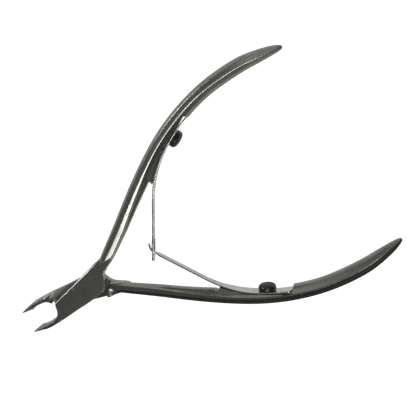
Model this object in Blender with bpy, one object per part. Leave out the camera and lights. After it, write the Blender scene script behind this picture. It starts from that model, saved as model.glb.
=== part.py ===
"""Cuticle nipper: two lap-jointed levers on one flush rivet, held open by two interlocking leaf springs.

The origin lies on the pivot axis, on the back face of the joint. +X runs along the tool towards the
handle ends, +Y towards the front lever's handle, and +Z is the pivot axis, towards the front plate.
Plan coordinates below are millimetres in the open position. Both levers come from one pattern: the rear
one is the front one turned half a turn about the tool's centre line, with a slimmer neck and a deeper seat.
"""
import math

import bmesh
import bpy
from mathutils import Vector

MM = 0.001

# ---- driving dimensions, mm ----
JOINT_THICKNESS = 4.6
HALF = JOINT_THICKNESS / 2
LAP_GAP = 0.3                 # between the two half-thickness plates
CLOSING_HALF_ANGLE = 9.3      # degrees each lever turns from the centre line until the edges meet
BLADE_HEEL = 14.1             # distance of the cutting edge's heel from the pivot
BLADE_TIP = 17.4              # distance of the jaw's point from the pivot

RIVET_RADIUS = 1.3
RIVET_CLEARANCE = 0.08
RIVET_HEAD_RADIUS = 2.1
RIVET_HEAD_DEPTH = 0.9

SEAT_POINT = (45.34, 24.16)   # on the spring seat, under the screw
SEAT_ANGLE = 28.1             # degrees, slope of the seat in plan
SEAT_TO_STEP = 7.3            # from the screw to the step that the spring's end butts against
SEAT_TO_RAMP = 12.6           # from the screw to the ramp at the seat's joint end
SEAT_SINK = {"front": 0.0, "rear": 0.85}      # the rear lever's seat is ground deeper
SPRING_BLOCK_HALF_WIDTH = 2.2                 # wedge under the leaf's bend, along the pivot axis
SPRING_BLOCK_STEPS = 7                        # rings of the bend that the wedge backs
LEAF_THICKNESS = 0.4
LEAF_GAP = 0.12               # seat to leaf, and leaf to screw head
LEAF_CLAMP_WIDTH = 4.6
LEAF_ARM_WIDTH = 2.2
SCREW_HEAD_RADIUS = 2.4
SCREW_HEAD_HEIGHT = 2.0
SCREW_SHANK_RADIUS = 0.95
SCREW_SHANK_LENGTH = 1.9
SCREW_CLEARANCE = 0.1
SCREW_SLOT_WIDTH = 0.6
SCREW_SLOT_DEPTH = 0.6

SPRING_CROSSING_X = {"front": 24.0, "rear": 23.8}   # where a leaf's arm crosses the centre line
SPRING_ARM_ANGLE = 57.5       # degrees between a leaf's free arm and the centre line
LEAF_BEND_TANGENT = 8.4       # length of the bend's tangents, from seat line and from arm line
LEAF_BEND_STEPS = 10          # rings along the bend
LEAF_END_RINGS = 4            # rings from the step to the screw
LEAF_END_BOW = 0.55           # height of the leaf's end above the seat, where it butts against the step
SLOT_LENGTH = 4.6
SLOT_WIDTH = 1.7
PADDLE_WIDTH = 3.2
TONGUE_WIDTH = 0.9

BODY_SIDES = 40               # sides of the round pieces
HALF_TURN = {"front": 0.0, "rear": math.pi}   # the rear pieces are turned about the centre line

# Handle centre line from the joint out: x, y, thickness in plan, half width along the pivot axis.
HANDLE_STATIONS = [
    (10.9, 4.35, 2.85, 2.30),
    (13.0, 5.80, 2.90, 2.31),
    (16.0, 7.80, 3.05, 2.36),
    (20.0, 10.5, 3.25, 2.47),
    (25.0, 14.0, 3.45, 2.65),
    (30.0, 17.3, 3.80, 2.80),
    (36.0, 21.0, 4.10, 2.95),
    (42.0, 24.3, 4.30, 3.10),
    (48.0, 27.0, 4.35, 3.20),
    (54.0, 29.1, 4.20, 3.25),
    (60.0, 30.5, 4.15, 3.30),
    (66.0, 31.2, 4.20, 3.25),
    (72.0, 31.4, 4.05, 3.10),
    (76.5, 31.05, 3.55, 2.80),
    (80.5, 30.55, 2.70, 2.20),
    (83.0, 30.15, 1.75, 1.45),
    (84.1, 29.95, 0.90, 0.70),
]
HANDLE_STEPS = 3              # rings between neighbouring handle stations
# Extra thickness on the front lever's inner side at each handle station: its neck is the stouter one.
NECK_SWELL = [0.35, 0.6, 0.65, 0.65, 0.6, 0.45, 0.15] + [0.0] * 10

# A section runs from the outer side, 0, to the inner side, 1, and from -1 to 1 along the pivot axis.
# front_outer and front_inner bound the front and back flats; the other pairs are (across, along) points.
SECTIONS = {
    "handle": {"front_outer": 0.47, "front_inner": 0.53, "outer": [(0.17, 0.70), (0.0, 0.27)],
               "inner": [(0.80, 0.66), (0.95, 0.33)]},
    "plate": {"front_outer": 0.04, "front_inner": 0.96, "outer": [(0.0, 0.90), (0.0, 0.45)],
              "inner": [(1.0, 0.90), (1.0, 0.45)]},
    "jaw": {"front_outer": 0.22, "front_inner": 0.78, "outer": [(0.04, 0.82), (0.0, 0.40)],
            "inner": [(0.96, 0.80), (1.0, 0.40)]},
    "blade": {"front_outer": 0.55, "front_inner": 0.80, "outer": [(0.26, 0.50), (0.0, 0.04)],
              "inner": [(0.93, 0.66), (1.0, 0.30)]},
}


def edge_point(distance):
    """Point of the front lever's cutting edge: radial from the pivot, so both edges meet when closed."""
    angle = math.radians(180.0 + CLOSING_HALF_ANGLE)
    return (distance * math.cos(angle), distance * math.sin(angle))


# Joint and jaw: outer point, inner point, half thickness, section. On the jaw the outer point is the
# mouth side, because the lever crosses the centre line at the pivot.
JOINT_STATIONS = [
    ((9.6, 5.35), (9.7, 2.0), HALF, {"plate": 0.75, "handle": 0.25}),
    ((8.8, 5.15), (8.75, 0.9), HALF, {"plate": 1}),
    ((8.0, 4.95), (8.35, -0.1), HALF, {"plate": 1}),
    ((6.9, 4.69), (7.8, -1.15), HALF, {"plate": 1}),
    ((5.6, 4.37), (6.7, -2.45), HALF, {"plate": 1}),
    ((3.5, 3.84), (4.0, -2.95), HALF, {"plate": 1}),
    ((0.6, 3.10), (1.1, -3.30), HALF, {"plate": 1}),
    ((-2.4, 2.36), (-1.8, -3.45), HALF, {"plate": 1}),
    ((-5.2, 1.69), (-4.0, -3.62), HALF, {"plate": 1}),
    ((-7.1, 1.25), (-5.6, -3.75), HALF, {"plate": 1}),
    ((-7.5, 0.2), (-7.0, -3.85), HALF, {"plate": 1}),
    ((-7.75, -0.9), (-8.3, -3.95), HALF, {"plate": 0.8, "jaw": 0.2}),
    ((-8.4, -1.95), (-9.6, -4.04), HALF, {"plate": 0.4, "jaw": 0.6}),
    ((-9.4, -2.55), (-10.7, -4.10), 2.27, {"jaw": 1}),
    ((-11.0, -2.80), (-11.9, -4.10), 2.20, {"jaw": 1}),
    ((-12.7, -2.72), (-13.1, -4.02), 2.05, {"jaw": 0.8, "blade": 0.2}),
    (edge_point(BLADE_HEEL), (-14.3, -3.82), 1.80, {"blade": 1}),
    (edge_point(15.7), (-15.7, -3.54), 1.45, {"blade": 1}),
    (edge_point(16.8), (-16.7, -3.26), 1.00, {"blade": 1}),
    (edge_point(BLADE_TIP), (-17.25, -3.04), 0.60, {"blade": 1}),
]

# Recess for the other lever's plate: its walls are the handle shoulder and the jaw shoulder, which the
# other plate clears from the open position to the closed one.
RECESS_OUTLINE = [
    (12.0, -7.0), (12.0, 0.4), (9.3, 1.35), (8.8, 2.0), (6.7, 4.15), (5.6, 7.0),
    (-9.5, 7.0), (-9.5, -0.6), (-7.95, -1.5), (-7.95, -2.5), (-7.3, -3.5), (-5.4, -4.35), (-4.3, -7.0),
]


def clear_scene():
    for old in list(bpy.data.objects):
        bpy.data.objects.remove(old, do_unlink=True)


def steel(name, colour, roughness):
    """Bare stainless steel with its own tone and polish."""
    material = bpy.data.materials.new(name)
    material.use_nodes = True
    shader = material.node_tree.nodes["Principled BSDF"]
    shader.inputs["Base Color"].default_value = (*colour, 1.0)
    shader.inputs["Roughness"].default_value = roughness
    shader.inputs["Metallic"].default_value = 1.0
    return material


def new_object(name, vertices, faces, material=None):
    """Object from millimetre vertices, with its faces turned outwards."""
    mesh = bpy.data.meshes.new(name)
    mesh.from_pydata([tuple(c * MM for c in v) for v in vertices], [], faces)
    work = bmesh.new()
    work.from_mesh(mesh)
    bmesh.ops.recalc_face_normals(work, faces=work.faces)
    work.to_mesh(mesh)
    work.free()
    piece = bpy.data.objects.new(name, mesh)
    bpy.context.collection.objects.link(piece)
    if material:
        mesh.materials.append(material)
    return piece


def rings_to_faces(ring_count, ring_size):
    """Quads between neighbouring closed rings, and a fan to a centre vertex at each end."""
    faces = []
    for ring in range(ring_count - 1):
        for side in range(ring_size):
            here = ring * ring_size
            after = (side + 1) % ring_size
            faces.append((here + side, here + after, here + ring_size + after, here + ring_size + side))
    first_centre = ring_count * ring_size
    last = (ring_count - 1) * ring_size
    for side in range(ring_size):
        after = (side + 1) % ring_size
        faces.append((first_centre, after, side))
        faces.append((first_centre + 1, last + side, last + after))
    return faces


def lofted(name, rings, material=None):
    """Closed body through a list of rings of equal size."""
    vertices = [point for ring in rings for point in ring]
    for ring in (rings[0], rings[-1]):
        vertices.append(tuple(sum(p[k] for p in ring) / len(ring) for k in range(3)))
    return new_object(name, vertices, rings_to_faces(len(rings), len(rings[0])), material)


def prism(name, outline, low, high):
    """Straight-sided block over a plan outline, used as a cutter."""
    rings = [[(x, y, z) for x, y in outline] for z in (low, high)]
    vertices = rings[0] + rings[1]
    count = len(outline)
    faces = [tuple(range(count)), tuple(range(2 * count - 1, count - 1, -1))]
    for side in range(count):
        after = (side + 1) % count
        faces.append((side, after, count + after, count + side))
    return new_object(name, vertices, faces)


def turned(name, profile, material=None):
    """Round body about +Z from a profile of (radius, z), one ring per profile point."""
    rings = []
    for radius, z in profile:
        ring = []
        for side in range(BODY_SIDES):
            angle = 2 * math.pi * side / BODY_SIDES
            ring.append((radius * math.cos(angle), radius * math.sin(angle), z))
        rings.append(ring)
    return lofted(name, rings, material)


def cut(piece, cutter, parented=True, operation="DIFFERENCE"):
    """Take the cutter's volume out of the piece, or add it; the cutter stays as a hidden guide."""
    cutter.hide_render = True
    cutter.display_type = "WIRE"
    if parented:
        cutter.parent = piece
    modifier = piece.modifiers.new("cut " + cutter.name, "BOOLEAN")
    modifier.operation = operation
    modifier.object = cutter


def catmull_rom(before, start, end, after, t):
    """Cubic through start and end whose slopes follow the neighbouring points."""
    values = []
    for a, b, c, d in zip(before, start, end, after):
        values.append(0.5 * (2 * b + (c - a) * t + (2 * a - 5 * b + 4 * c - d) * t ** 2
                             + (3 * b - a - 3 * c + d) * t ** 3))
    return values


def section_ring(outer, inner, half_width, shares):
    """Closed section between two plan points, blended from the named section shapes."""
    def mix(read):
        return sum(share * read(SECTIONS[kind]) for kind, share in shares.items())

    flat = [(mix(lambda s: s["front_outer"]), 1.0), (mix(lambda s: s["front_inner"]), 1.0)]
    sides = {}
    for side in ("outer", "inner"):
        sides[side] = [(mix(lambda s: s[side][k][0]), mix(lambda s: s[side][k][1])) for k in (0, 1)]
    front = [sides["outer"][1], sides["outer"][0]] + flat + sides["inner"]
    back = [(across, -along) for across, along in reversed(front)]
    ring = []
    for across, along in front + [(1.0, 0.0)] + back:
        x = outer[0] + across * (inner[0] - outer[0])
        y = outer[1] + across * (inner[1] - outer[1])
        ring.append((x, y, along * half_width))
    return ring


def handle_rings(side):
    """Rings from the handle's end to the joint, square to the centre line."""
    swell = NECK_SWELL if side == "front" else [0.0] * len(NECK_SWELL)
    stations = [(*station, extra) for station, extra in zip(HANDLE_STATIONS, swell)]
    samples = []
    for k in range(len(stations) - 1):
        before = stations[max(k - 1, 0)]
        after = stations[min(k + 2, len(stations) - 1)]
        for step in range(HANDLE_STEPS):
            samples.append(catmull_rom(before, stations[k], stations[k + 1], after, step / HANDLE_STEPS))
    samples.append(list(stations[-1]))
    rings = []
    for k, (x, y, thickness, half_width, extra) in enumerate(samples):
        ahead = samples[min(k + 1, len(samples) - 1)]
        behind = samples[max(k - 1, 0)]
        slope = math.atan2(ahead[1] - behind[1], ahead[0] - behind[0])
        across = (-math.sin(slope) * thickness / 2, math.cos(slope) * thickness / 2)
        wider = 1 + 2 * extra / thickness
        flat_share = max(0.0, 0.35 - 0.35 * k / HANDLE_STEPS)
        shares = {"handle": 1 - flat_share, "plate": flat_share}
        rings.append(section_ring((x + across[0], y + across[1]),
                                  (x - wider * across[0], y - wider * across[1]), half_width, shares))
    return list(reversed(rings))


def seat_frame():
    """Point on the seat under the screw, direction along the seat outwards, and direction into the hand."""
    angle = math.radians(SEAT_ANGLE)
    return SEAT_POINT, (math.cos(angle), math.sin(angle)), (math.sin(angle), -math.cos(angle))


def on_seat(side, along, away):
    """Plan point at a distance along the seat from the screw and a height above the seat."""
    point, run, rise = seat_frame()
    away -= SEAT_SINK[side]
    return (point[0] + along * run[0] + away * rise[0], point[1] + along * run[1] + away * rise[1])


def spring_block(name, side):
    """Wedge that backs the leaf's bend: its top follows the leaf, its joint end is a hollow fillet."""
    path = leaf_path(side, "slotted")
    gap = LEAF_THICKNESS / 2 + LEAF_GAP
    top = []
    first = LEAF_END_RINGS + 1
    for k in range(first, first + SPRING_BLOCK_STEPS):
        slope = math.atan2(path[k + 1][1] - path[k - 1][1], path[k + 1][0] - path[k - 1][0])
        top.append((path[k][0] + gap * math.sin(slope), path[k][1] - gap * math.cos(slope)))
    x, y = top[-1]
    fillet = [(x - 0.25, y + 0.4), (x - 0.6, y + 0.7), (x - 1.1, y + 0.9), (x - 1.8, y + 1.0)]
    if side == "rear":
        fillet = [(x - 0.3, y + 0.25), (x - 0.9, y + 0.3)]
    inside = [(x - 0.6, y + 2.6), (x + 7.2, y + 7.1)]
    return prism(name, top + fillet + inside, -SPRING_BLOCK_HALF_WIDTH, SPRING_BLOCK_HALF_WIDTH)


def lever(name, material, side):
    """One lever: handle, half-lap joint plate and jaw in a single forging."""
    rings = handle_rings(side)
    rings += [section_ring(*station) for station in JOINT_STATIONS]
    body = lofted(name, rings, material)
    recess = prism(name + "_recess_cutter", RECESS_OUTLINE, -JOINT_THICKNESS, LAP_GAP / 2)
    cut(body, recess)
    seat_outline = [on_seat(side, SEAT_TO_STEP, 0), on_seat(side, SEAT_TO_STEP, 4), on_seat(side, -16, 4),
                    on_seat(side, -SEAT_TO_RAMP - 1.6, 1.3), on_seat(side, -SEAT_TO_RAMP, 0)]
    seat = prism(name + "_seat_cutter", seat_outline, -6, 6)
    cut(body, seat)
    cut(body, spring_block(name + "_spring_block", side), operation="UNION")
    bore_radius = RIVET_RADIUS + RIVET_CLEARANCE
    head_radius = RIVET_HEAD_RADIUS + RIVET_CLEARANCE
    bore = turned(name + "_bore_cutter", [(bore_radius, -1.0), (bore_radius, HALF - RIVET_HEAD_DEPTH),
                                          (head_radius, HALF), (head_radius, HALF + 1)])
    cut(body, bore)
    hole_depth = SCREW_SHANK_LENGTH + 0.3
    hole = turned(name + "_screw_hole_cutter", [(SCREW_SHANK_RADIUS + SCREW_CLEARANCE, -hole_depth),
                                                (SCREW_SHANK_RADIUS + SCREW_CLEARANCE, 2.0)])
    stand_on_seat(hole, side, 0.0)
    cut(body, hole)
    body.location = (0, 0, HALF * MM)
    body.rotation_euler = (HALF_TURN[side], 0, 0)
    return body


def stand_on_seat(piece, side, away):
    """Turn a piece modelled about +Z so that it stands square on the seat at the screw."""
    rise = seat_frame()[2]
    x, y = on_seat(side, 0, away)
    piece.location = (x * MM, y * MM, 0)
    piece.rotation_euler = Vector((rise[0], rise[1], 0)).to_track_quat("Z", "Y").to_euler()


def rivet(material):
    """Pivot rivet with a countersunk head ground flush at each face."""
    top = JOINT_THICKNESS
    return turned("pivot_rivet", [(RIVET_HEAD_RADIUS, 0.0), (RIVET_RADIUS, RIVET_HEAD_DEPTH),
                                  (RIVET_RADIUS, top - RIVET_HEAD_DEPTH), (RIVET_HEAD_RADIUS, top)], material)


def clamp_screw(name, material, side):
    """Domed screw that holds a leaf spring: threaded shank, rounded head and a driving slot."""
    dome = []
    for step in range(1, 7):
        angle = math.radians(15 * step)
        dome.append((0.35 + (SCREW_HEAD_RADIUS - 0.35) * math.cos(angle),
                     SCREW_HEAD_HEIGHT * (0.45 + 0.55 * math.sin(angle))))
    profile = [(SCREW_SHANK_RADIUS - 0.25, -SCREW_SHANK_LENGTH), (SCREW_SHANK_RADIUS, 0.3 - SCREW_SHANK_LENGTH),
               (SCREW_SHANK_RADIUS, 0.0), (SCREW_HEAD_RADIUS - 0.15, 0.0), (SCREW_HEAD_RADIUS, 0.2),
               (SCREW_HEAD_RADIUS, SCREW_HEAD_HEIGHT * 0.45)] + dome
    head_foot = 2 * LEAF_GAP + LEAF_THICKNESS
    piece = turned(name, profile, material)
    half = SCREW_SLOT_WIDTH / 2
    floor = SCREW_HEAD_HEIGHT - SCREW_SLOT_DEPTH
    slot = prism(name + "_slot_cutter", [(-4, -half), (4, -half), (4, half), (-4, half)], floor, 4)
    cut(piece, slot)
    carrier = bpy.data.objects.new(name + "_seat", None)
    bpy.context.collection.objects.link(carrier)
    carrier.location = (0, 0, HALF * MM)
    carrier.rotation_euler = (HALF_TURN[side], 0, 0)
    piece.parent = carrier
    stand_on_seat(piece, side, head_foot)
    return piece


def leaf_hinge(side):
    """Plan point about which a leaf flexes: where its bend leaves the block."""
    return leaf_path(side, "slotted")[LEAF_END_RINGS + SPRING_BLOCK_STEPS]


def leaf_path(side, end):
    """Middle line of a leaf in plan: clamp on the seat, smooth bend, straight arm and its end."""
    middle = LEAF_GAP + LEAF_THICKNESS / 2
    arm = math.radians(SPRING_ARM_ANGLE)
    run = (math.cos(arm), math.sin(arm))
    _, seat_run, _ = seat_frame()
    base = on_seat(side, 0, middle)
    crossing_x = SPRING_CROSSING_X[side]
    # The seat line and the arm line meet at the bend's corner.
    across = seat_run[0] * run[1] - seat_run[1] * run[0]
    gap = (crossing_x - base[0], -base[1])
    reach = (gap[0] * run[1] - gap[1] * run[0]) / across
    corner = on_seat(side, reach, middle)
    start = on_seat(side, reach + LEAF_BEND_TANGENT, middle)
    finish = (corner[0] - LEAF_BEND_TANGENT * run[0], corner[1] - LEAF_BEND_TANGENT * run[1])
    path = []
    for k in range(LEAF_END_RINGS):
        left = 1 - k / LEAF_END_RINGS
        path.append(on_seat(side, 2.2 + (SEAT_TO_STEP - 2.55) * left, middle + LEAF_END_BOW * left ** 2))
    for step in range(LEAF_BEND_STEPS + 1):
        t = step / LEAF_BEND_STEPS
        path.append(tuple((1 - t) ** 2 * start[k] + 2 * t * (1 - t) * corner[k] + t ** 2 * finish[k]
                          for k in (0, 1)))

    def along_arm(distance):
        return (crossing_x + distance * run[0], distance * run[1])

    if end == "slotted":
        path += [along_arm(6.0), along_arm(4.0), along_arm(0.0), along_arm(-2.9)]
    else:
        path += [along_arm(6.0), along_arm(1.2), along_arm(0.2), (crossing_x - 0.25, -0.75),
                 (crossing_x + 0.15, -2.4)]
    return path


def leaf_width(point, end):
    """Width of the leaf along the pivot axis: wide at the clamp, slender along the arm."""
    clamp_start = 42.0
    bend_end = 30.0
    if point[0] > clamp_start:
        return LEAF_CLAMP_WIDTH
    if point[0] > bend_end:
        share = (point[0] - bend_end) / (clamp_start - bend_end)
        return 2.9 + share * (LEAF_CLAMP_WIDTH - 2.9)
    if end == "slotted":
        return PADDLE_WIDTH if point[1] < 4.0 else LEAF_ARM_WIDTH
    return TONGUE_WIDTH if point[1] < 1.5 else LEAF_ARM_WIDTH


def leaf(name, end, material, side):
    """Leaf spring: strip of constant thickness carried along its path, with a screw hole at the clamp."""
    path = leaf_path(side, end)
    rings = []
    for k, point in enumerate(path):
        ahead = path[min(k + 1, len(path) - 1)]
        behind = path[max(k - 1, 0)]
        slope = math.atan2(ahead[1] - behind[1], ahead[0] - behind[0])
        across = (-math.sin(slope) * LEAF_THICKNESS / 2, math.cos(slope) * LEAF_THICKNESS / 2)
        half = leaf_width(point, end) / 2
        rings.append([(point[0] + across[0], point[1] + across[1], half),
                      (point[0] - across[0], point[1] - across[1], half),
                      (point[0] - across[0], point[1] - across[1], -half),
                      (point[0] + across[0], point[1] + across[1], -half)])
    hinge = leaf_hinge(side)
    shifted = [[(x - hinge[0], y - hinge[1], z) for x, y, z in ring] for ring in rings]
    piece = lofted(name, shifted, material)
    carrier = bpy.data.objects.new(name + "_clamp", None)
    bpy.context.collection.objects.link(carrier)
    carrier.location = (0, 0, HALF * MM)
    carrier.rotation_euler = (HALF_TURN[side], 0, 0)
    piece.parent = carrier
    piece.location = (hinge[0] * MM, hinge[1] * MM, 0)
    hole = turned(name + "_hole_cutter", [(SCREW_SHANK_RADIUS + 2 * SCREW_CLEARANCE, -2.0),
                                          (SCREW_SHANK_RADIUS + 2 * SCREW_CLEARANCE, 2.0)])
    stand_on_seat(hole, side, 0.0)
    hole.parent = carrier
    cut(piece, hole, parented=False)
    if end == "slotted":
        arm = math.radians(SPRING_ARM_ANGLE)
        run = (math.cos(arm), math.sin(arm))
        outline = []
        for distance, away in ((-1.3, -1), (-1.3, 1), (SLOT_LENGTH - 1.3, 1), (SLOT_LENGTH - 1.3, -1)):
            outline.append((SPRING_CROSSING_X[side] + distance * run[0] - away * run[1],
                            distance * run[1] + away * run[0]))
        slot = prism(name + "_slot_cutter", outline, -SLOT_WIDTH / 2, SLOT_WIDTH / 2)
        slot.parent = carrier
        cut(piece, slot, parented=False)
    return piece


def build():
    clear_scene()
    lever_steel = steel("lever_steel", (0.42, 0.42, 0.40), 0.24)
    rivet_steel = steel("rivet_steel", (0.40, 0.40, 0.38), 0.30)
    spring_steel = steel("spring_steel", (0.62, 0.61, 0.58), 0.20)
    screw_steel = steel("screw_steel", (0.20, 0.20, 0.19), 0.35)
    lever("front_lever", lever_steel, "front")
    lever("rear_lever", lever_steel, "rear")
    rivet(rivet_steel)
    leaf("upper_leaf_spring", "slotted", spring_steel, "front")
    leaf("lower_leaf_spring", "tongued", spring_steel, "rear")
    clamp_screw("upper_spring_screw", screw_steel, "front")
    clamp_screw("lower_spring_screw", screw_steel, "rear")


build()
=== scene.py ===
"""Cuticle nipper in bare steel: two forged levers on a flush rivet, two leaf springs and their screws.

Lengths below are millimetres in the lever's own plan, with the pivot at the origin and the joint's
mid-plane at z = 0; `placed` moves them into the frame, in metres. The rear lever, lower leaf and lower
screw are made like the front ones, then turned half a turn about the tool's centre line.
"""
import math

import bpy
import numpy as np
from mathutils import Matrix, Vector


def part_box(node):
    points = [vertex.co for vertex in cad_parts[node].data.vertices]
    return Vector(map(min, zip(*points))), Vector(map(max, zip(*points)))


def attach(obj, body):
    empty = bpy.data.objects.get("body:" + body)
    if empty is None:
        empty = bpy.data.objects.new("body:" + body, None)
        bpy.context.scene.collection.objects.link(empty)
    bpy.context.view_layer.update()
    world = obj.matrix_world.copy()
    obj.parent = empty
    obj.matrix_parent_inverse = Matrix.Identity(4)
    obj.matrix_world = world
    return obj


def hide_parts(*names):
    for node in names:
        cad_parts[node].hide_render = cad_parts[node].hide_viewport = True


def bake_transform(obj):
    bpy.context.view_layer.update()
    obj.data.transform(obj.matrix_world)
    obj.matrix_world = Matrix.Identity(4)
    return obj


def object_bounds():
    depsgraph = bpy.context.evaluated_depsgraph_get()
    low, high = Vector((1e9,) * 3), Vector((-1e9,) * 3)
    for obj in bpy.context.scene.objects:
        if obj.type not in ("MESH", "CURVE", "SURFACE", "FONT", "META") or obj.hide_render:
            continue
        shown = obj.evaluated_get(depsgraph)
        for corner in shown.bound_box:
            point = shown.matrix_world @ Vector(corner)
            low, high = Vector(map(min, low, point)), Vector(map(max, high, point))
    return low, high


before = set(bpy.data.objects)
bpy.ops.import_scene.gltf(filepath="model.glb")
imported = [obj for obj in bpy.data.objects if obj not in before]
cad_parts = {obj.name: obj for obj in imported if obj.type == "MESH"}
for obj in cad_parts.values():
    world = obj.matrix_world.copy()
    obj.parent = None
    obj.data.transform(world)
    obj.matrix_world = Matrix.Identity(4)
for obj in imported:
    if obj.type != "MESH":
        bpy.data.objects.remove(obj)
cad_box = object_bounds()

MM = 0.001
HALF = (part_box("pivot_rivet")[1].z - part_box("pivot_rivet")[0].z) / MM / 2   # half the joint's thickness
LAP_FACE = 0.15               # height of the lap face above the mid-plane
CLOSING_HALF_ANGLE = 9.3      # degrees
ARRIS = 0.10                  # length of an arris's rounding along each facet
DETAIL = 2

# Handle centre line from the joint out: x, y, thickness in plan, half width along the pivot axis.
HANDLE = np.array([
    (10.9, 4.35, 2.85, 2.30), (13.0, 5.80, 2.90, 2.31), (16.0, 7.80, 3.05, 2.36), (20.0, 10.5, 3.25, 2.47),
    (25.0, 14.0, 3.45, 2.65), (30.0, 17.3, 3.80, 2.80), (36.0, 21.0, 4.10, 2.95), (42.0, 24.3, 4.30, 3.10),
    (48.0, 27.0, 4.35, 3.20), (54.0, 29.1, 4.20, 3.25), (60.0, 30.5, 4.15, 3.30), (66.0, 31.2, 4.20, 3.25),
    (72.0, 31.4, 4.05, 3.10), (76.5, 31.05, 3.55, 2.80), (80.5, 30.55, 2.70, 2.20), (83.0, 30.15, 1.75, 1.45),
    (84.1, 29.95, 0.90, 0.70)])
# Extra thickness on the front lever's inner side at each handle station: its neck is the stouter one.
NECK_SWELL = np.array([.35, .6, .65, .65, .6, .45, .15] + [0] * 10)

# Front half of each section from the outer side, 0, to the inner side, 1: (across, share of half width).
PLATE = np.array([
    (0, .45), (0, .925), (.05, 1), (.47, 1), (.80, 1), (.90, 1), (.985, 1), (1, .965), (1, .45)])
JAW = np.array([
    (0, .40), (.04, .80), (.20, 1), (.40, 1), (.60, 1), (.78, 1), (.93, .84), (.96, .80), (1, .40)])
BLADE = np.array([
    (0, .04), (.26, .50), (.50, .95), (.55, 1), (.62, 1), (.80, 1), (.90, .74), (.93, .66), (1, .30)])


def edge_point(distance):
    """Point of the cutting edge at a distance from the pivot: on the ray that meets the other edge."""
    angle = math.radians(180 + CLOSING_HALF_ANGLE)
    return distance * math.cos(angle), distance * math.sin(angle)


# Joint and jaw: outer point, inner point, half thickness, shares of plate and jaw section, slack. The
# outline runs straight into a station whose slack is 0, which makes a corner there.
JOINT = [
    ((9.6, 5.35), (9.7, 2.0), 1.0, 1, 0, 1), ((8.8, 5.15), (8.75, .9), 1.0, 1, 0, 1),
    ((8.0, 4.95), (8.35, -.1), 1.0, 1, 0, 1), ((6.9, 4.69), (7.8, -1.15), 1.0, 1, 0, 1),
    ((5.6, 4.37), (6.7, -2.45), 1.0, 1, 0, 1), ((3.5, 3.84), (4.0, -2.95), 1.0, 1, 0, 1),
    ((.6, 3.10), (1.1, -3.30), 1.0, 1, 0, 1), ((-2.4, 2.36), (-1.8, -3.45), 1.0, 1, 0, 1),
    ((-5.2, 1.69), (-4.0, -3.62), 1.0, 1, 0, 1), ((-7.1, 1.25), (-5.6, -3.75), 1.0, 1, 0, 0),
    ((-7.5, .2), (-7.0, -3.85), 1.0, 1, 0, 1), ((-7.75, -.9), (-8.3, -3.95), 1.0, .8, .2, 1),
    ((-8.4, -1.95), (-9.6, -4.04), 1.0, .4, .6, 1), ((-9.4, -2.55), (-10.7, -4.10), .987, 0, 1, 1),
    ((-11.0, -2.80), (-11.9, -4.10), .957, 0, 1, 1), ((-12.7, -2.72), (-13.1, -4.02), .891, 0, .8, 1),
    (edge_point(14.1), (-14.3, -3.82), .783, 0, 0, 0), (edge_point(15.7), (-15.7, -3.54), .630, 0, 0, 1),
    (edge_point(16.8), (-16.7, -3.26), .435, 0, 0, 1), (edge_point(17.4), (-17.25, -3.04), .261, 0, 0, 1)]

RECESS = np.array([
    (12.0, -7.0), (12.0, .4), (9.3, 1.35), (8.8, 2.0), (6.7, 4.15), (5.6, 7.0), (-9.5, 7.0), (-9.5, -.6),
    (-7.95, -1.5), (-7.95, -2.5), (-7.3, -3.5), (-5.4, -4.35), (-4.3, -7.0)])

SEAT_POINT = np.array((45.34, 24.16))
SEAT_ANGLE = math.radians(28.1)
SEAT_RUN = np.array((math.cos(SEAT_ANGLE), math.sin(SEAT_ANGLE)))
SEAT_RISE = np.array((math.sin(SEAT_ANGLE), -math.cos(SEAT_ANGLE)))
SEAT_TO_STEP = 7.3
SEAT_TO_RAMP = 12.6
SEAT_SINK = 0.85              # the rear lever's seat is ground deeper by this
BLOCK_HALF_WIDTH = 2.2        # wedge that backs the leaf's bend
LEAF_THICKNESS = 0.4
LEAF_GAP = 0.12
SPRING_CROSSING = {False: np.array((24.0, 0.0)), True: np.array((23.8, 0.0))}    # front, rear
SPRING_ARM_ANGLE = math.radians(57.5)
ARM_RUN = np.array((math.cos(SPRING_ARM_ANGLE), math.sin(SPRING_ARM_ANGLE)))
LEAF_BEND_TANGENT = 8.4
SCREW_HEAD_RADIUS = 2.4
SCREW_HEAD_HEIGHT = 2.0

RIDGE = 0.47                  # place of the handle's ridge across the section
FLAT_SHARE = 0.075            # width of the polished flat beside the ridge at the handle's end
FLAT_GAIN = 0.30              # how much wider it is at the joint
FLAT_FADE = 40                # length of handle over which it narrows
EDGE_BREAK = 0.1              # chamfer at the recess's rim
LEAF_END_RISE = 0.55          # height of the leaf's bowed end above the seat
LEAF_ARM_WIDTH = 2.2
LEAF_CLAMP_WIDTH = 4.6
PADDLE_WIDTH = 3.2            # end of the slotted leaf
TONGUE_WIDTH = 0.9            # end of the tongued leaf
BEND_RANGE = (0.5, 0.9)       # shares of the leaf's bend between which it flexes


# ---- surfaces -------------------------------------------------------------------------------------

def smooth_step(t):
    """3t^2 - 2t^3 between 0 and 1, flat outside."""
    t = np.clip(t, 0, 1)
    return t * t * (3 - 2 * t)


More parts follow.
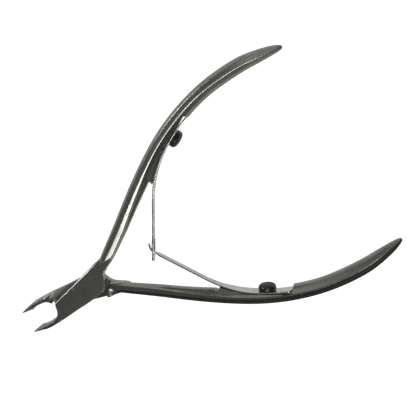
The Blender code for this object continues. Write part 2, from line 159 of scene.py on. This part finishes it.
def through(points, counts, slack=None):
    """Cubic through the points: each span is Hermite, with slopes half the chord of the neighbours
    times the point's slack. `counts` is the number of samples in each span."""
    points = np.asarray(points, float)
    slopes = np.empty_like(points)
    slopes[1:-1] = (points[2:] - points[:-2]) / 2
    slopes[0] = points[1] - points[0]
    slopes[-1] = points[-1] - points[-2]
    if slack is not None:
        slopes = slopes * np.reshape(slack, (-1,) + (1,) * (points.ndim - 1))
    span = np.repeat(np.arange(len(counts)), counts)
    start = np.repeat(np.concatenate([[0], np.cumsum(counts)[:-1]]), counts)
    t = (np.arange(len(span)) - start) / np.repeat(counts, counts)
    t = t.reshape((-1,) + (1,) * (points.ndim - 1))
    values = ((2 * t ** 3 - 3 * t ** 2 + 1) * points[span] + (t ** 3 - 2 * t ** 2 + t) * slopes[span]
              + (3 * t ** 2 - 2 * t ** 3) * points[span + 1] + (t ** 3 - t ** 2) * slopes[span + 1])
    return np.concatenate([values, points[-1:]])


def eased(corners, radius, rounds, runs):
    """Closed polygons (..., corners, 2) with every corner rounded by a quadratic that leaves each edge
    `radius` from the corner, or at 45% of a shorter edge, and `runs` points along what is left."""
    before = np.roll(corners, 1, axis=-2) - corners
    after = np.roll(corners, -1, axis=-2) - corners
    reach_b = np.minimum(radius / np.maximum(np.linalg.norm(before, axis=-1, keepdims=True), 1e-6), .45)
    reach_a = np.minimum(radius / np.maximum(np.linalg.norm(after, axis=-1, keepdims=True), 1e-6), .45)
    enter = corners + before * reach_b
    leave = corners + after * reach_a
    t = np.linspace(0, 1, rounds)[:, None]
    bend = ((1 - t) ** 2 * enter[..., None, :] + 2 * t * (1 - t) * corners[..., None, :]
            + t ** 2 * leave[..., None, :])
    following = np.roll(enter, -1, axis=-2)
    share = (np.arange(1, runs + 1) / (runs + 1))[:, None]
    edge = leave[..., None, :] + share * (following - leave)[..., None, :]
    ring = np.concatenate([bend, edge], axis=-2)
    return ring.reshape(*corners.shape[:-2], -1, 2)


def grid_faces(rings, sides):
    """Quads between neighbouring closed rings, the seam joined, and a fan to a centre at each end."""
    ring, side = np.meshgrid(np.arange(rings - 1), np.arange(sides), indexing="ij")
    after = (side + 1) % sides
    quads = np.stack([ring * sides + side, ring * sides + after,
                      (ring + 1) * sides + after, (ring + 1) * sides + side], axis=-1).reshape(-1, 4)
    side = np.arange(sides)
    after = (side + 1) % sides
    last = (rings - 1) * sides
    first_cap = np.stack([np.full(sides, rings * sides), after, side], axis=-1)
    last_cap = np.stack([np.full(sides, rings * sides + 1), last + side, last + after], axis=-1)
    return quads, np.concatenate([first_cap, last_cap])


def skinned(name, rings, lengths=None):
    """Closed body through rings (count, sides, 3), with a UV map of the share round the ring and the
    length along the body in centimetres. The rings run anticlockwise, seen from the last one."""
    count, sides = rings.shape[:2]
    vertices = np.concatenate([rings.reshape(-1, 3), rings[[0, -1]].mean(axis=1)])
    quads, caps = grid_faces(count, sides)
    mesh = bpy.data.meshes.new(name)
    mesh.from_pydata((vertices * MM).tolist(), [], quads.tolist() + caps.tolist())
    if lengths is None:
        steps = np.linalg.norm(np.diff(rings.mean(axis=1), axis=0), axis=1)
        lengths = np.concatenate([[0], np.cumsum(steps)])
    round_share = np.tile(np.arange(sides) / sides, count)
    along = np.repeat(lengths / 10, sides)
    round_share = np.concatenate([round_share, [.5, .5]])
    along = np.concatenate([along, [lengths[0] / 10, lengths[-1] / 10]])
    loops = np.empty(len(mesh.loops), np.int32)
    mesh.loops.foreach_get("vertex_index", loops)
    around = round_share[loops]
    quad_loops = around[:len(quads) * 4].reshape(-1, 4)
    closing = quad_loops.max(axis=1) - quad_loops.min(axis=1) > .5
    quad_loops[closing] = np.where(quad_loops[closing] < .5, quad_loops[closing] + 1, quad_loops[closing])
    layer = mesh.uv_layers.new(name="UVMap")
    layer.data.foreach_set("uv", np.stack([around, along[loops]], axis=-1).astype(np.float32).ravel())
    piece = bpy.data.objects.new(name, mesh)
    bpy.context.scene.collection.objects.link(piece)
    return piece


def block(name, outline, levels):
    """Cutter: a plan outline carried through levels of (z, growth), growth pushing the outline out
    along its mitred normals."""
    outline = np.asarray(outline, float)
    ahead = np.roll(outline, -1, axis=0) - outline
    area = np.sum(outline[:, 0] * np.roll(outline[:, 1], -1) - outline[:, 1] * np.roll(outline[:, 0], -1))
    if area < 0:
        outline = outline[::-1]
        ahead = np.roll(outline, -1, axis=0) - outline
    normal = np.stack([ahead[:, 1], -ahead[:, 0]], axis=-1)
    normal /= np.linalg.norm(normal, axis=1, keepdims=True)
    mitre = normal + np.roll(normal, 1, axis=0)
    mitre /= np.sum(mitre * normal, axis=1, keepdims=True)
    rings = np.stack([np.column_stack([outline + growth * mitre, np.full(len(outline), z)])
                      for z, growth in levels])
    return skinned(name, rings)


def turned(name, profile, sides=96):
    """Round body about +Z: each (radius, z) of the profile swept through a full turn."""
    angle = 2 * math.pi * np.arange(sides) / sides
    profile = np.asarray(profile, float)
    rings = np.stack([profile[:, :1] * np.cos(angle), profile[:, :1] * np.sin(angle),
                      np.repeat(profile[:, 1:], sides, axis=1)], axis=-1)
    return skinned(name, rings)


def carved(piece, *cutters, operation="DIFFERENCE"):
    """The piece less the cutters, or joined with them, with the result kept as its mesh."""
    for cutter in cutters:
        modifier = piece.modifiers.new("cut", "BOOLEAN")
        modifier.operation = operation
        modifier.solver = "MANIFOLD"
        modifier.object = cutter
    bpy.context.view_layer.update()
    evaluated = piece.evaluated_get(bpy.context.evaluated_depsgraph_get())
    mesh = bpy.data.meshes.new_from_object(evaluated)
    piece.modifiers.clear()
    piece.data = mesh
    for cutter in cutters:
        bpy.data.objects.remove(cutter)
    return piece


def moved(piece, turn=None, place=(0, 0, 0)):
    """Turn the mesh by a 3 x 3 matrix, then shift it by millimetres."""
    points = np.empty(len(piece.data.vertices) * 3)
    piece.data.vertices.foreach_get("co", points)
    points = points.reshape(-1, 3)
    if turn is not None:
        points = points @ np.asarray(turn, float).T
    points = points + np.asarray(place, float) * MM
    piece.data.vertices.foreach_set("co", points.ravel())
    piece.data.update()
    return piece


HALF_TURN = np.diag([1, -1, -1])


def placed(piece, rear):
    """From the lever's plan into the frame: up by half the joint, after the half turn on the rear side."""
    return moved(piece, HALF_TURN if rear else None, (0, 0, HALF))


def finished(piece, material, angle=28):
    """Smooth shading that keeps edges sharper than `angle`, and the piece's one material."""
    piece.data.shade_smooth()
    piece.data.set_sharp_from_angle(angle=math.radians(angle))
    piece.data.materials.clear()
    piece.data.materials.append(material)
    return piece


def on_seat(rear, along, away):
    """Plan point at a distance along the seat from the screw and a height above the seat."""
    return SEAT_POINT + along * SEAT_RUN + (away - SEAT_SINK * rear) * SEAT_RISE


def standing(rear, away):
    """Turn matrix and place that stand a body made about +Z on the seat, `away` above it."""
    rise = np.array((*SEAT_RISE, 0))
    side = np.array((0, 0, 1.0))
    return np.column_stack([np.cross(side, rise), side, rise]), (*on_seat(rear, 0, away), 0)


# ---- levers ---------------------------------------------------------------------------------------

def handle_section(along):
    """Handle facets at distances from the neck: outer bevel, narrow ledge, main facet, polished flat
    beside the ridge, which is wide at the joint and narrows along the handle, and the brushed inner
    facets."""
    fade = smooth_step(1 - along / FLAT_FADE)[:, None]
    flat = FLAT_SHARE + FLAT_GAIN * fade
    ones = np.ones_like(flat)
    lean = .30 * flat
    columns = [(0 * ones, .27 * ones), (.15 * ones, .68 * ones), (.205 * ones, .715 * ones),
               (RIDGE * ones, ones), (RIDGE + flat, 1 - lean),
               (np.maximum(.80, RIDGE + flat + .06), .66 * ones),
               (.95 * ones, .40 * ones), (.985 * ones, .20 * ones), (ones, .06 * ones)]
    return np.stack([np.concatenate(c, axis=1) for c in columns], axis=1)


def lever_rings(rear):
    """Rings of one lever from the handle's end to the jaw's point. Outer and inner plan lines and the
    half width are cubics through their stations; a section is laid between the two lines. Past the
    neck every point blends from the joint's section into the handle's, later towards the inner side,
    so that the handle's facets run out at a curved shoulder in the plate. The inner wall blends over a
    longer way."""
    swell = NECK_SWELL * (not rear)
    fine = through(np.column_stack([HANDLE, 1 + 2 * swell / HANDLE[:, 2]]), np.full(len(HANDLE) - 1, 3))
    ahead = np.concatenate([fine[1:], fine[-1:]]) - np.concatenate([fine[:1], fine[:-1]])
    slope = np.arctan2(ahead[:, 1], ahead[:, 0])
    across = np.column_stack([-np.sin(slope), np.cos(slope)]) * fine[:, 2:3] / 2
    handle = np.column_stack([fine[:, :2] + across, fine[:, :2] - fine[:, 4:] * across, fine[:, 3]])[::-1]
    joint = np.array([(*outer, *inner, half * HALF) for outer, inner, half, *_ in JOINT])
    stations = np.concatenate([handle, joint])
    slack = np.concatenate([np.ones(len(handle)), [row[5] for row in JOINT]])
    kinds = np.concatenate([np.tile((1.0, 0.0), (len(handle), 1)), [row[3:5] for row in JOINT]])
    counts = np.full(len(stations) - 1, 2 * DETAIL)
    neck = len(handle)
    counts[neck - 5:neck + 1] = 8 * DETAIL
    counts[neck + 1:] = 3 * DETAIL
    dense = through(stations, counts, slack)
    kinds = np.clip(through(kinds, counts, np.zeros(len(kinds))), 0, 1)
    middle = (dense[:, :2] + dense[:, 2:4]) / 2
    steps = np.linalg.norm(np.diff(middle, axis=0), axis=1)
    travelled = np.concatenate([[0], np.cumsum(steps)])
    along = travelled[int(np.sum(counts[:neck]))] - travelled

    plate_share, jaw_share = kinds[:, 0, None, None], kinds[:, 1, None, None]
    joint_section = plate_share * PLATE + jaw_share * JAW + (1 - plate_share - jaw_share) * BLADE
    width = np.linalg.norm(dense[:, 2:4] - dense[:, :2], axis=1)[:, None]
    rings = []
    for section in (joint_section, handle_section(np.maximum(along, 0))):
        front = section * np.stack([width, dense[:, 4:]], axis=-1)
        back = front[:, ::-1] * (1, -1)
        rings.append(eased(np.concatenate([front, back], axis=1), ARRIS, 4, 3))
    share = rings[1][..., 0] / width
    on_front = rings[0][..., 1] > 0
    shoulder = np.where(on_front, .1 + 1.14 * share + 2.91 * share ** 2, -2.5)
    wall = smooth_step((share - .88) / .1)
    shoulder += (-1.5 - shoulder) * wall
    length = np.where(on_front, .28, 2.4)
    length += (4.5 - length) * wall
    blend = smooth_step((along[:, None] - shoulder) / length)
    dip = 1 - .085 * np.exp(-(np.maximum(along, 0) / 9) ** 2)
    rings[1][..., 1] *= dip[:, None]
    section = rings[0] + (rings[1] - rings[0]) * blend[..., None]
    share = section[..., 0] / width
    plan = dense[:, None, :2] + share[..., None] * (dense[:, 2:4] - dense[:, :2])[:, None]
    return np.concatenate([plan, section[..., 1:]], axis=-1), along


def lever(name, material, rear):
    """One lever as a single forging, with the recess for the other plate, the spring's seat, the
    screw hole and the countersunk rivet hole cut in."""
    rings, along = lever_rings(rear)
    body = skinned(name, rings[:, ::-1], along)
    recess = block("recess", RECESS, [(-6, EDGE_BREAK + 6 - HALF), (-HALF - .001, EDGE_BREAK),
                                      (-HALF + EDGE_BREAK, 0), (LAP_FACE, 0)])
    ramp = [on_seat(rear, -SEAT_TO_RAMP + x, y) for x, y in ((-1.6, 1.3), (-.55, .22), (-.1, .03), (.5, 0))]
    notch = [on_seat(rear, SEAT_TO_STEP + x, y) for x, y in ((-.12, 0), (0, .12), (0, 4))]
    seat = block("seat", [*notch, on_seat(rear, -16, 4), *ramp], [(-6, 0), (6, 0)])
    bore = turned("bore", [(1.32, -1), (1.32, HALF - .9), (2.12, HALF), (2.12, HALF + 1)])
    hole = turned("hole", [(1.05, -2.2), (1.05, 2)])
    moved(hole, *standing(rear, 0))
    carved(body, recess, seat)
    carved(body, spring_block(rear), operation="UNION")
    carved(body, bore, hole)
    placed(body, rear)
    return finished(body, material)


def spring_block(rear):
    """Wedge that backs the leaf's bend up to 0.7 of its length: its top follows the leaf's back, its
    joint end is a hollow fillet and its long edges are eased."""
    line = bend_line(rear, np.linspace(.1, .7, 13))
    ahead = np.gradient(line, axis=0)
    ahead /= np.linalg.norm(ahead, axis=1, keepdims=True)
    top = line + (LEAF_THICKNESS / 2 + LEAF_GAP) * np.column_stack([ahead[:, 1], -ahead[:, 0]])
    end = top[-1]
    fillet = [(-.3, .25), (-.9, .3)] if rear else [(-.05, .5), (-.25, 1.0), (-.6, 1.4)]
    outline = [*top, *(end + step for step in np.array(fillet)), end + (-.6, 2.6), end + (7.2, 7.1)]
    half = BLOCK_HALF_WIDTH
    return block("spring_block", outline, [(-half, -.12), (.12 - half, 0), (half - .12, 0), (half, -.12)])


# ---- springs, screws and rivet --------------------------------------------------------------------

def bend_line(rear, t):
    """Leaf's bend in plan at shares t of it: a quadratic whose tangents are the seat line and the arm
    line, which meet at its corner."""
    middle = LEAF_GAP + LEAF_THICKNESS / 2
    turn = SEAT_RUN[0] * ARM_RUN[1] - SEAT_RUN[1] * ARM_RUN[0]
    gap = SPRING_CROSSING[rear] - on_seat(rear, 0, middle)
    reach = (gap[0] * ARM_RUN[1] - gap[1] * ARM_RUN[0]) / turn
    corner = on_seat(rear, reach, middle)
    start = on_seat(rear, reach + LEAF_BEND_TANGENT, middle)
    finish = corner - LEAF_BEND_TANGENT * ARM_RUN
    t = np.asarray(t)[:, None]
    return (1 - t) ** 2 * start + 2 * t * (1 - t) * corner + t ** 2 * finish


def leaf_line(rear, slotted):
    """Middle line of a leaf in plan, and its half width: along the seat, with its end bowed up to the
    step, the bend, a straight arm through the crossing, and the tip."""
    bend = bend_line(rear, np.linspace(0, 1, 60))
    start, finish = bend[0], bend[-1]
    crossing = SPRING_CROSSING[rear]
    end = on_seat(rear, SEAT_TO_STEP - .35, LEAF_GAP + LEAF_THICKNESS / 2)
    clamp = end + (start - end) * np.linspace(0, 1, 30)[:-1, None]
    lift = np.clip(((clamp - SEAT_POINT) @ SEAT_RUN - 2.2) / 4.75, 0, None)
    clamp = clamp + LEAF_END_RISE * lift[:, None] ** 2 * SEAT_RISE
    if slotted:
        tip = crossing - 2.9 * ARM_RUN
        arm = finish + (tip - finish) * np.linspace(0, 1, 60)[1:, None]
        line = np.concatenate([clamp, bend, arm])
    else:
        near = crossing + .9 * ARM_RUN
        arm = finish + (near - finish) * np.linspace(0, 1, 50)[1:, None]
        hook = through([near, crossing + .1 * ARM_RUN, crossing + (-.25, -.75), crossing + (-.05, -1.6),
                        crossing + (.15, -2.4)], np.full(4, 6))
        line = np.concatenate([clamp, bend, arm, hook[1:]])
    travelled = np.concatenate([[0], np.cumsum(np.linalg.norm(np.diff(line, axis=0), axis=1))])
    total = travelled[-1]
    to_bend_end = travelled[len(clamp) + len(bend) - 1]
    left = total - travelled
    waist = smooth_step((travelled - 9) / (to_bend_end - 9))
    width = LEAF_CLAMP_WIDTH + (LEAF_ARM_WIDTH - LEAF_CLAMP_WIDTH) * waist
    if slotted:
        width = width + (PADDLE_WIDTH - LEAF_ARM_WIDTH) * smooth_step((7.6 - left) / 2.2)
        tip_round = 1.5
    else:
        width = width + (TONGUE_WIDTH - LEAF_ARM_WIDTH) * smooth_step((4.4 - left) / .8)
        tip_round = .42
    half = width / 2
    for distance, radius in ((travelled, .9), (left, tip_round)):
        near = np.clip(1 - distance / radius, 0, 1)
        half = half - radius * (1 - np.sqrt(1 - near ** 2)) * .98
    return line, np.maximum(half, .05), travelled


def leaf(name, slotted, material, rear):
    """Leaf spring: a strip 0.4 thick with eased edges carried along its line."""
    line, half, travelled = leaf_line(rear, slotted)
    ahead = np.concatenate([line[1:], line[-1:]]) - np.concatenate([line[:1], line[:-1]])
    ahead /= np.linalg.norm(ahead, axis=1, keepdims=True)
    normal = np.column_stack([-ahead[:, 1], ahead[:, 0]])
    thick = LEAF_THICKNESS / 2
    corners = np.stack([np.column_stack([np.full(len(half), s * thick), h * half])
                        for s, h in ((1, 1), (-1, 1), (-1, -1), (1, -1))], axis=1)
    section = eased(corners, .09, 4, 5)
    plan = line[:, None] + section[..., :1] * normal[:, None]
    rings = np.concatenate([plan, section[..., 1:]], axis=-1)
    piece = skinned(name, rings, travelled)
    hole = turned("hole", [(1.15, -2), (1.15, 2)])
    moved(hole, *standing(rear, 0))
    cutters = [hole]
    if slotted:
        angle = np.linspace(-math.pi / 2, math.pi / 2, 9)
        side = np.column_stack([np.cos(angle), np.sin(angle)]) * .85
        stadium = np.concatenate([side + (3.3 - .85, 0), -side + (-1.3 + .85, 0)])
        slot = block("slot", stadium, [(-2, 0), (2, 0)])
        turn = np.column_stack([(*ARM_RUN, 0), (0, 0, 1), (ARM_RUN[1], -ARM_RUN[0], 0)])
        moved(slot, turn, (*SPRING_CROSSING[rear], 0))
        cutters.append(slot)
    carved(piece, *cutters)
    placed(piece, rear)
    return finished(piece, material)


def clamp_screw(name, material, rear):
    """Domed screw: chamfered rim, straight flank, a shoulder rounded into a flattened dome and a slot."""
    angle = np.radians(np.linspace(0, 90, 26))
    dome = np.column_stack([.35 + (SCREW_HEAD_RADIUS - .35) * np.cos(angle) ** .8,
                            SCREW_HEAD_HEIGHT * (.45 + .55 * np.sin(angle) ** 1.1)])
    shank = [(.70, -1.9), (.95, -1.6), (.95, 0)]
    foot = [(SCREW_HEAD_RADIUS - .16, 0), (SCREW_HEAD_RADIUS - .05, .05), (SCREW_HEAD_RADIUS, .16)]
    flank = [(SCREW_HEAD_RADIUS, z) for z in (.4, .65)]
    piece = turned(name, [*shank, *foot, *flank, *dome])
    floor = SCREW_HEAD_HEIGHT - .6
    rim = SCREW_HEAD_HEIGHT + .05
    outline = [(-4, -.3), (4, -.3), (4, .3), (-4, .3)]
    slot = block("slot", outline, [(floor, 0), (rim - .12, 0), (rim, .1), (4, .1)])
    carved(piece, slot)
    moved(piece, *standing(rear, 2 * LEAF_GAP + LEAF_THICKNESS))
    placed(piece, rear)
    return finished(piece, material, 32)


def pivot_rivet(name, material):
    """Rivet with a countersunk head ground flush at each face."""
    top = 2 * HALF
    profile = [(2.02, .001), (2.06, .02), (1.3, .87),
               (1.3, top - .87), (2.06, top - .02), (2.02, top - .001)]
    return finished(turned(name, profile), material, 20)


# ---- shader maths ---------------------------------------------------------------------------------

class Shade:
    """A shader socket that can be used in arithmetic: each operation adds its Math node."""

    def __init__(self, tree, socket):
        self.tree = tree
        self.socket = socket

    def node(self, kind, settings=None, **inputs):
        """Add a node: its settings first, then its sockets' values or links, named as on the node."""
        made = self.tree.nodes.new(kind)
        for key, value in (settings or {}).items():
            setattr(made, key, value)
        for key, value in inputs.items():
            index = int(key[1:]) if key[0] == "_" and key[1:].isdigit() else key.replace("_", " ")
            target = made.inputs[index]
            if isinstance(value, Shade):
                self.tree.links.new(value.socket, target)
            else:
                target.default_value = value
        return made

    def math(self, operation, a, b=0.0):
        made = self.node("ShaderNodeMath", {"operation": operation}, _0=a, _1=b)
        return Shade(self.tree, made.outputs[0])

    def __add__(self, other):
        return self.math("ADD", self, other)

    def __sub__(self, other):
        return self.math("SUBTRACT", self, other)

    def __rsub__(self, other):
        return self.math("SUBTRACT", other, self)

    def __mul__(self, other):
        return self.math("MULTIPLY", self, other)

    __radd__ = __add__
    __rmul__ = __mul__

    def between(self, low, high):
        """0 below low, 1 above high, smooth in between."""
        made = self.node("ShaderNodeMapRange", {"interpolation_type": "SMOOTHSTEP"},
                         Value=self, From_Min=low, From_Max=high)
        return Shade(self.tree, made.outputs["Result"])

    def output(self, kind, output, settings=None, **inputs):
        return Shade(self.tree, self.node(kind, settings, **inputs).outputs[output])

    def noise(self, vector, scale, detail=2.0, rough=.5):
        return self.output("ShaderNodeTexNoise", "Fac", Vector=vector, Scale=scale, Detail=detail,
                           Roughness=rough)

    def stretched(self, vector, x, y, z=1.0):
        """The vector times (x, y, z)."""
        return self.output("ShaderNodeVectorMath", 0, {"operation": "MULTIPLY"}, _0=vector, _1=(x, y, z))

    def mixed(self, low, high):
        """Colour between two colours or colour sockets by this value."""
        made = self.node("ShaderNodeMix", {"data_type": "RGBA"}, _0=self, _6=low, _7=high)
        return Shade(self.tree, made.outputs[2])


def rgb(red, green, blue):
    return red, green, blue, 1.0


def new_steel(name, roughness):
    """Principled metal with its tree, shader and coordinate sockets ready."""
    material = bpy.data.materials.new(name)
    material.use_nodes = True
    tree = material.node_tree
    shader = tree.nodes["Principled BSDF"]
    shader.inputs["Metallic"].default_value = 1.0
    shader.inputs["Roughness"].default_value = roughness
    coordinates = tree.nodes.new("ShaderNodeTexCoord")
    place = Shade(tree, coordinates.outputs["Object"])
    surface = Shade(tree, coordinates.outputs["UV"])
    return material, tree, shader, place, surface


def feed(shader, socket, value):
    value.tree.links.new(value.socket, shader.inputs[socket])


def forged_steel():
    """Lever steel: dark bare stainless, ground across the inner facets and along the outer ones, with a
    fine grain on the plates, a warmer unpolished lap face with painted shade darkening it to near black
    towards the joint side, faint tarnish and hairline scratches."""
    material, tree, shader, place, surface = new_steel("forged_steel", .24)
    split = tree.nodes.new("ShaderNodeSeparateXYZ")
    tree.links.new(surface.socket, split.inputs[0])
    around = Shade(tree, split.outputs[0])
    along = Shade(tree, split.outputs[1])
    spot = tree.nodes.new("ShaderNodeSeparateXYZ")
    tree.links.new(place.socket, spot.inputs[0])
    height = Shade(tree, spot.outputs[2])
    out = Shade(tree, spot.outputs[0])

    on_handle = out.between(.0105, .0135)
    inner = around.between(.22, .24) * (1 - around.between(.76, .78))
    across_lines = surface.noise(surface.stretched(surface, 3, 26), 10, 2.0, .6)
    long_lines = surface.noise(surface.stretched(surface, 170, 1.2), 1, 3.0, .6)
    grain = place.noise(place.stretched(place, 1, 2.2, 1), 5200, 2.0, .55)
    lines = across_lines * inner + long_lines * (1 - inner)
    brushing = lines * on_handle + grain * (1 - on_handle)
    tarnish = place.noise(place, 260, 4.0, .6)
    scratch = place.noise(place.stretched(place, 9, 1, 3), 700, 1.0, .4).between(.66, .70)
    lap = height.between(.00205, .0021) * (1 - height.between(.0025, .00255))
    lap = lap * (1 - out.between(.0095, .0105))
    corner = out.between(.0005, .0045)

    base = tarnish.between(.35, .7).mixed(rgb(.330, .335, .295), rgb(.245, .248, .218))
    brushed = (brushing.between(.3, .7) * .55).mixed(base, rgb(.40, .405, .36))
    # Painted shade: the lap face's warm tone turns near black from 0.5 to 4.5 mm out along x, towards the
    # joint.
    lap_tone_and_painted_shade = corner.mixed(rgb(.56, .52, .475), rgb(.07, .07, .062))
    feed(shader, "Base Color", (lap * .8).mixed(brushed, lap_tone_and_painted_shade))
    feed(shader, "Roughness", .17 + brushing * .14 + tarnish * .05 + lap * .12)
    bump = surface.node("ShaderNodeBump", None, Strength=.12, Distance=.00002,
                        Height=brushing + scratch * -.35)
    feed(shader, "Normal", Shade(tree, bump.outputs[0]))
    return material


def spring_steel():
    """Leaf steel: bright rolled strip, faint lines along it, darker in scattered stains."""
    material, tree, shader, place, surface = new_steel("rolled_spring_steel", .18)
    rolled = surface.noise(surface.stretched(surface, 60, 1.5), 1, 2.0, .5)
    cross = surface.noise(surface.stretched(surface, 1.5, 30), 1, 2.0, .5)
    stain = place.noise(place, 420, 3.0, .6)
    colour = stain.between(.42, .72).mixed(rgb(.80, .79, .765), rgb(.56, .53, .49))
    feed(shader, "Base Color", (cross.between(.35, .65) * .3).mixed(colour, rgb(.50, .50, .48)))
    feed(shader, "Roughness", .13 + rolled * .12 + stain * .06)
    bump = surface.node("ShaderNodeBump", None, Strength=.2, Distance=.00001, Height=rolled + cross * .5)
    feed(shader, "Normal", Shade(tree, bump.outputs[0]))
    return material


def screw_steel():
    """Screw steel: dark oiled finish, turning marks, small bright wear spots on the dome."""
    material, tree, shader, place, surface = new_steel("oiled_screw_steel", .30)
    wear = place.noise(place, 1500, 3.0, .6)
    rings = surface.noise(surface.stretched(surface, 1, 220), 1, 2.0, .5)
    feed(shader, "Base Color", wear.between(.56, .68).mixed(rgb(.085, .088, .08), rgb(.30, .30, .28)))
    feed(shader, "Roughness", .24 + wear * .16 + rings * .06)
    bump = surface.node("ShaderNodeBump", None, Strength=.3, Distance=.00002, Height=wear + rings * .4)
    feed(shader, "Normal", Shade(tree, bump.outputs[0]))
    return material


def rivet_steel():
    """Rivet steel: ground flush with the plates, so only its grain and a hair of tone differ."""
    material, tree, shader, place, _ = new_steel("ground_rivet_steel", .26)
    grain = place.noise(place.stretched(place, 1, 2.2, 1), 5200, 2.0, .55)
    tarnish = place.noise(place, 260, 4.0, .6)
    base = tarnish.between(.35, .7).mixed(rgb(.330, .335, .295), rgb(.245, .248, .218))
    feed(shader, "Base Color", (grain.between(.3, .7) * .55).mixed(base, rgb(.40, .405, .36)))
    feed(shader, "Roughness", .17 + grain * .14 + tarnish * .05)
    bump = place.node("ShaderNodeBump", None, Strength=.12, Distance=.00002, Height=grain)
    feed(shader, "Normal", Shade(tree, bump.outputs[0]))
    return material


# ---- the tool -------------------------------------------------------------------------------------

def fitted(piece, body, node):
    """The piece rides on its body in place of its plain solid, which is hidden."""
    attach(piece, body)
    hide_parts(node)


def flexing(piece, node, rear):
    """The leaf's mesh is baked into the frame in place of its plain solid, which is hidden."""
    side = -1 if rear else 1
    start, end = bend_line(rear, BEND_RANGE) * (MM, side * MM)
    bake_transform(piece)
    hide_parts(node)


levers = forged_steel()
leaves = spring_steel()
screws = screw_steel()
fitted(lever("front_lever_forging", levers, False), "front_half", "front_lever")
fitted(lever("rear_lever_forging", levers, True), "rear_half", "rear_lever")
fitted(pivot_rivet("flush_rivet", rivet_steel()), "rear_half", "pivot_rivet")
fitted(clamp_screw("upper_clamp_screw", screws, False), "front_half", "upper_spring_screw")
fitted(clamp_screw("lower_clamp_screw", screws, True), "rear_half", "lower_spring_screw")
flexing(leaf("slotted_leaf", True, leaves, False), "upper_leaf_spring", False)
flexing(leaf("tongued_leaf", False, leaves, True), "lower_leaf_spring", True)


# ---- floor, light and camera ----------------------------------------------------------------------

def floor():
    """Plain pale floor just under the tool."""
    reach = 1.5
    low = cad_box[0][2] - .0002
    mesh = bpy.data.meshes.new("floor")
    corners = [(-reach, -reach, low), (reach, -reach, low), (reach, reach, low), (-reach, reach, low)]
    mesh.from_pydata(corners, [], [(0, 1, 2, 3)])
    piece = bpy.data.objects.new("floor", mesh)
    bpy.context.scene.collection.objects.link(piece)
    material = bpy.data.materials.new("pale_floor")
    material.use_nodes = True
    shader = material.node_tree.nodes["Principled BSDF"]
    shader.inputs["Base Color"].default_value = rgb(.85, .85, .85)
    shader.inputs["Roughness"].default_value = .9
    shader.inputs["Specular IOR Level"].default_value = 0
    shader.inputs["Emission Color"].default_value = rgb(1, 1, 1)
    shader.inputs["Emission Strength"].default_value = .95
    mesh.materials.append(material)


def painted_reflection_cards():
    """Painted reflections: cards seen only in the steel's reflections, in place of the floor: a glowing
    grey one, and a black one past the lower handle standing in for shade.
    """
    low = cad_box[0][2] - .0001
    line = HANDLE[:, :2] * (MM, -MM)
    line = np.concatenate([[(-1.5, -.002)], line, [(1.5, -.030)]])
    # Painted reflection: the grey card glows and the black one is painted shade; only glossy rays see them.
    for name, far, shine in (("grey_painted_reflection_card", 1.5, .52), ("black_painted_shade_card", -1.5, .015)):
        edge = [(x, y, low) for x, y in line]
        mesh = bpy.data.meshes.new(name)
        faces = [(k, k + 1, len(line) + k + 1, len(line) + k) for k in range(len(line) - 1)]
        mesh.from_pydata(edge + [(x, far, low) for x, _, _ in edge], [], faces)
        piece = bpy.data.objects.new(name, mesh)
        bpy.context.scene.collection.objects.link(piece)
        piece.visible_camera = False
        piece.visible_diffuse = False
        piece.visible_shadow = False
        material = bpy.data.materials.new(name)
        material.use_nodes = True
        shader = material.node_tree.nodes["Principled BSDF"]
        shader.inputs["Base Color"].default_value = rgb(0, 0, 0)
        shader.inputs["Specular IOR Level"].default_value = 0
        shader.inputs["Emission Color"].default_value = rgb(1, 1, 1)
        shader.inputs["Emission Strength"].default_value = shine
        mesh.materials.append(material)


def aimed(thing, direction, distance, target, up=(0, 0, 1)):
    """Put a light or camera at a distance from the target, its back to `direction`."""
    back = np.array(direction, float)
    back /= np.linalg.norm(back)
    right = np.cross(up, back)
    right /= np.linalg.norm(right)
    place = np.array(target) + distance * back
    rows = np.column_stack([right, np.cross(back, right), back, place])
    thing.matrix_world = Matrix([*rows.tolist(), (0, 0, 0, 1)])
    return thing


def softbox(name, direction, distance, width, height, brightness):
    """Area light of that size whose surface shines at `brightness`."""
    light = bpy.data.lights.new(name, "AREA")
    light.shape = "RECTANGLE"
    light.size = width
    light.size_y = height
    light.energy = brightness * math.pi * width * height
    lamp = bpy.data.objects.new(name, light)
    bpy.context.scene.collection.objects.link(lamp)
    aimed(lamp, direction, distance, (.035, 0, 0))


def studio():
    """Dim surroundings with a wide soft box behind the tool and two small bright ones."""
    world = bpy.data.worlds.new("studio")
    bpy.context.scene.world = world
    world.use_nodes = True
    background = world.node_tree.nodes["Background"]
    background.inputs["Color"].default_value = rgb(.95, .97, 1.0)
    background.inputs["Strength"].default_value = .10
    softbox("wide_box", (.25, .88, .42), .8, .8, .35, .45)
    softbox("side_box", (-.477, .594, .645), .9, .12, .30, 10)
    softbox("top_box", (-.09, -.45, .89), .9, .22, .22, 8)


def camera():
    """Long lens from above the joint's front face, turned so that the jaws point to the lower left."""
    lens = bpy.data.cameras.new("camera")
    lens.sensor_width = 36
    lens.lens = 310.8
    lens.clip_start = .01
    lens.clip_end = 20
    eye = bpy.data.objects.new("camera", lens)
    bpy.context.scene.collection.objects.link(eye)
    aimed(eye, (.309, .128, .942), .963, (.0435, .00197, .0023), up=(.472, .840, -.269))
    bpy.context.scene.camera = eye
    bpy.context.scene.view_settings.view_transform = "Standard"


floor()
painted_reflection_cards()
studio()
camera()
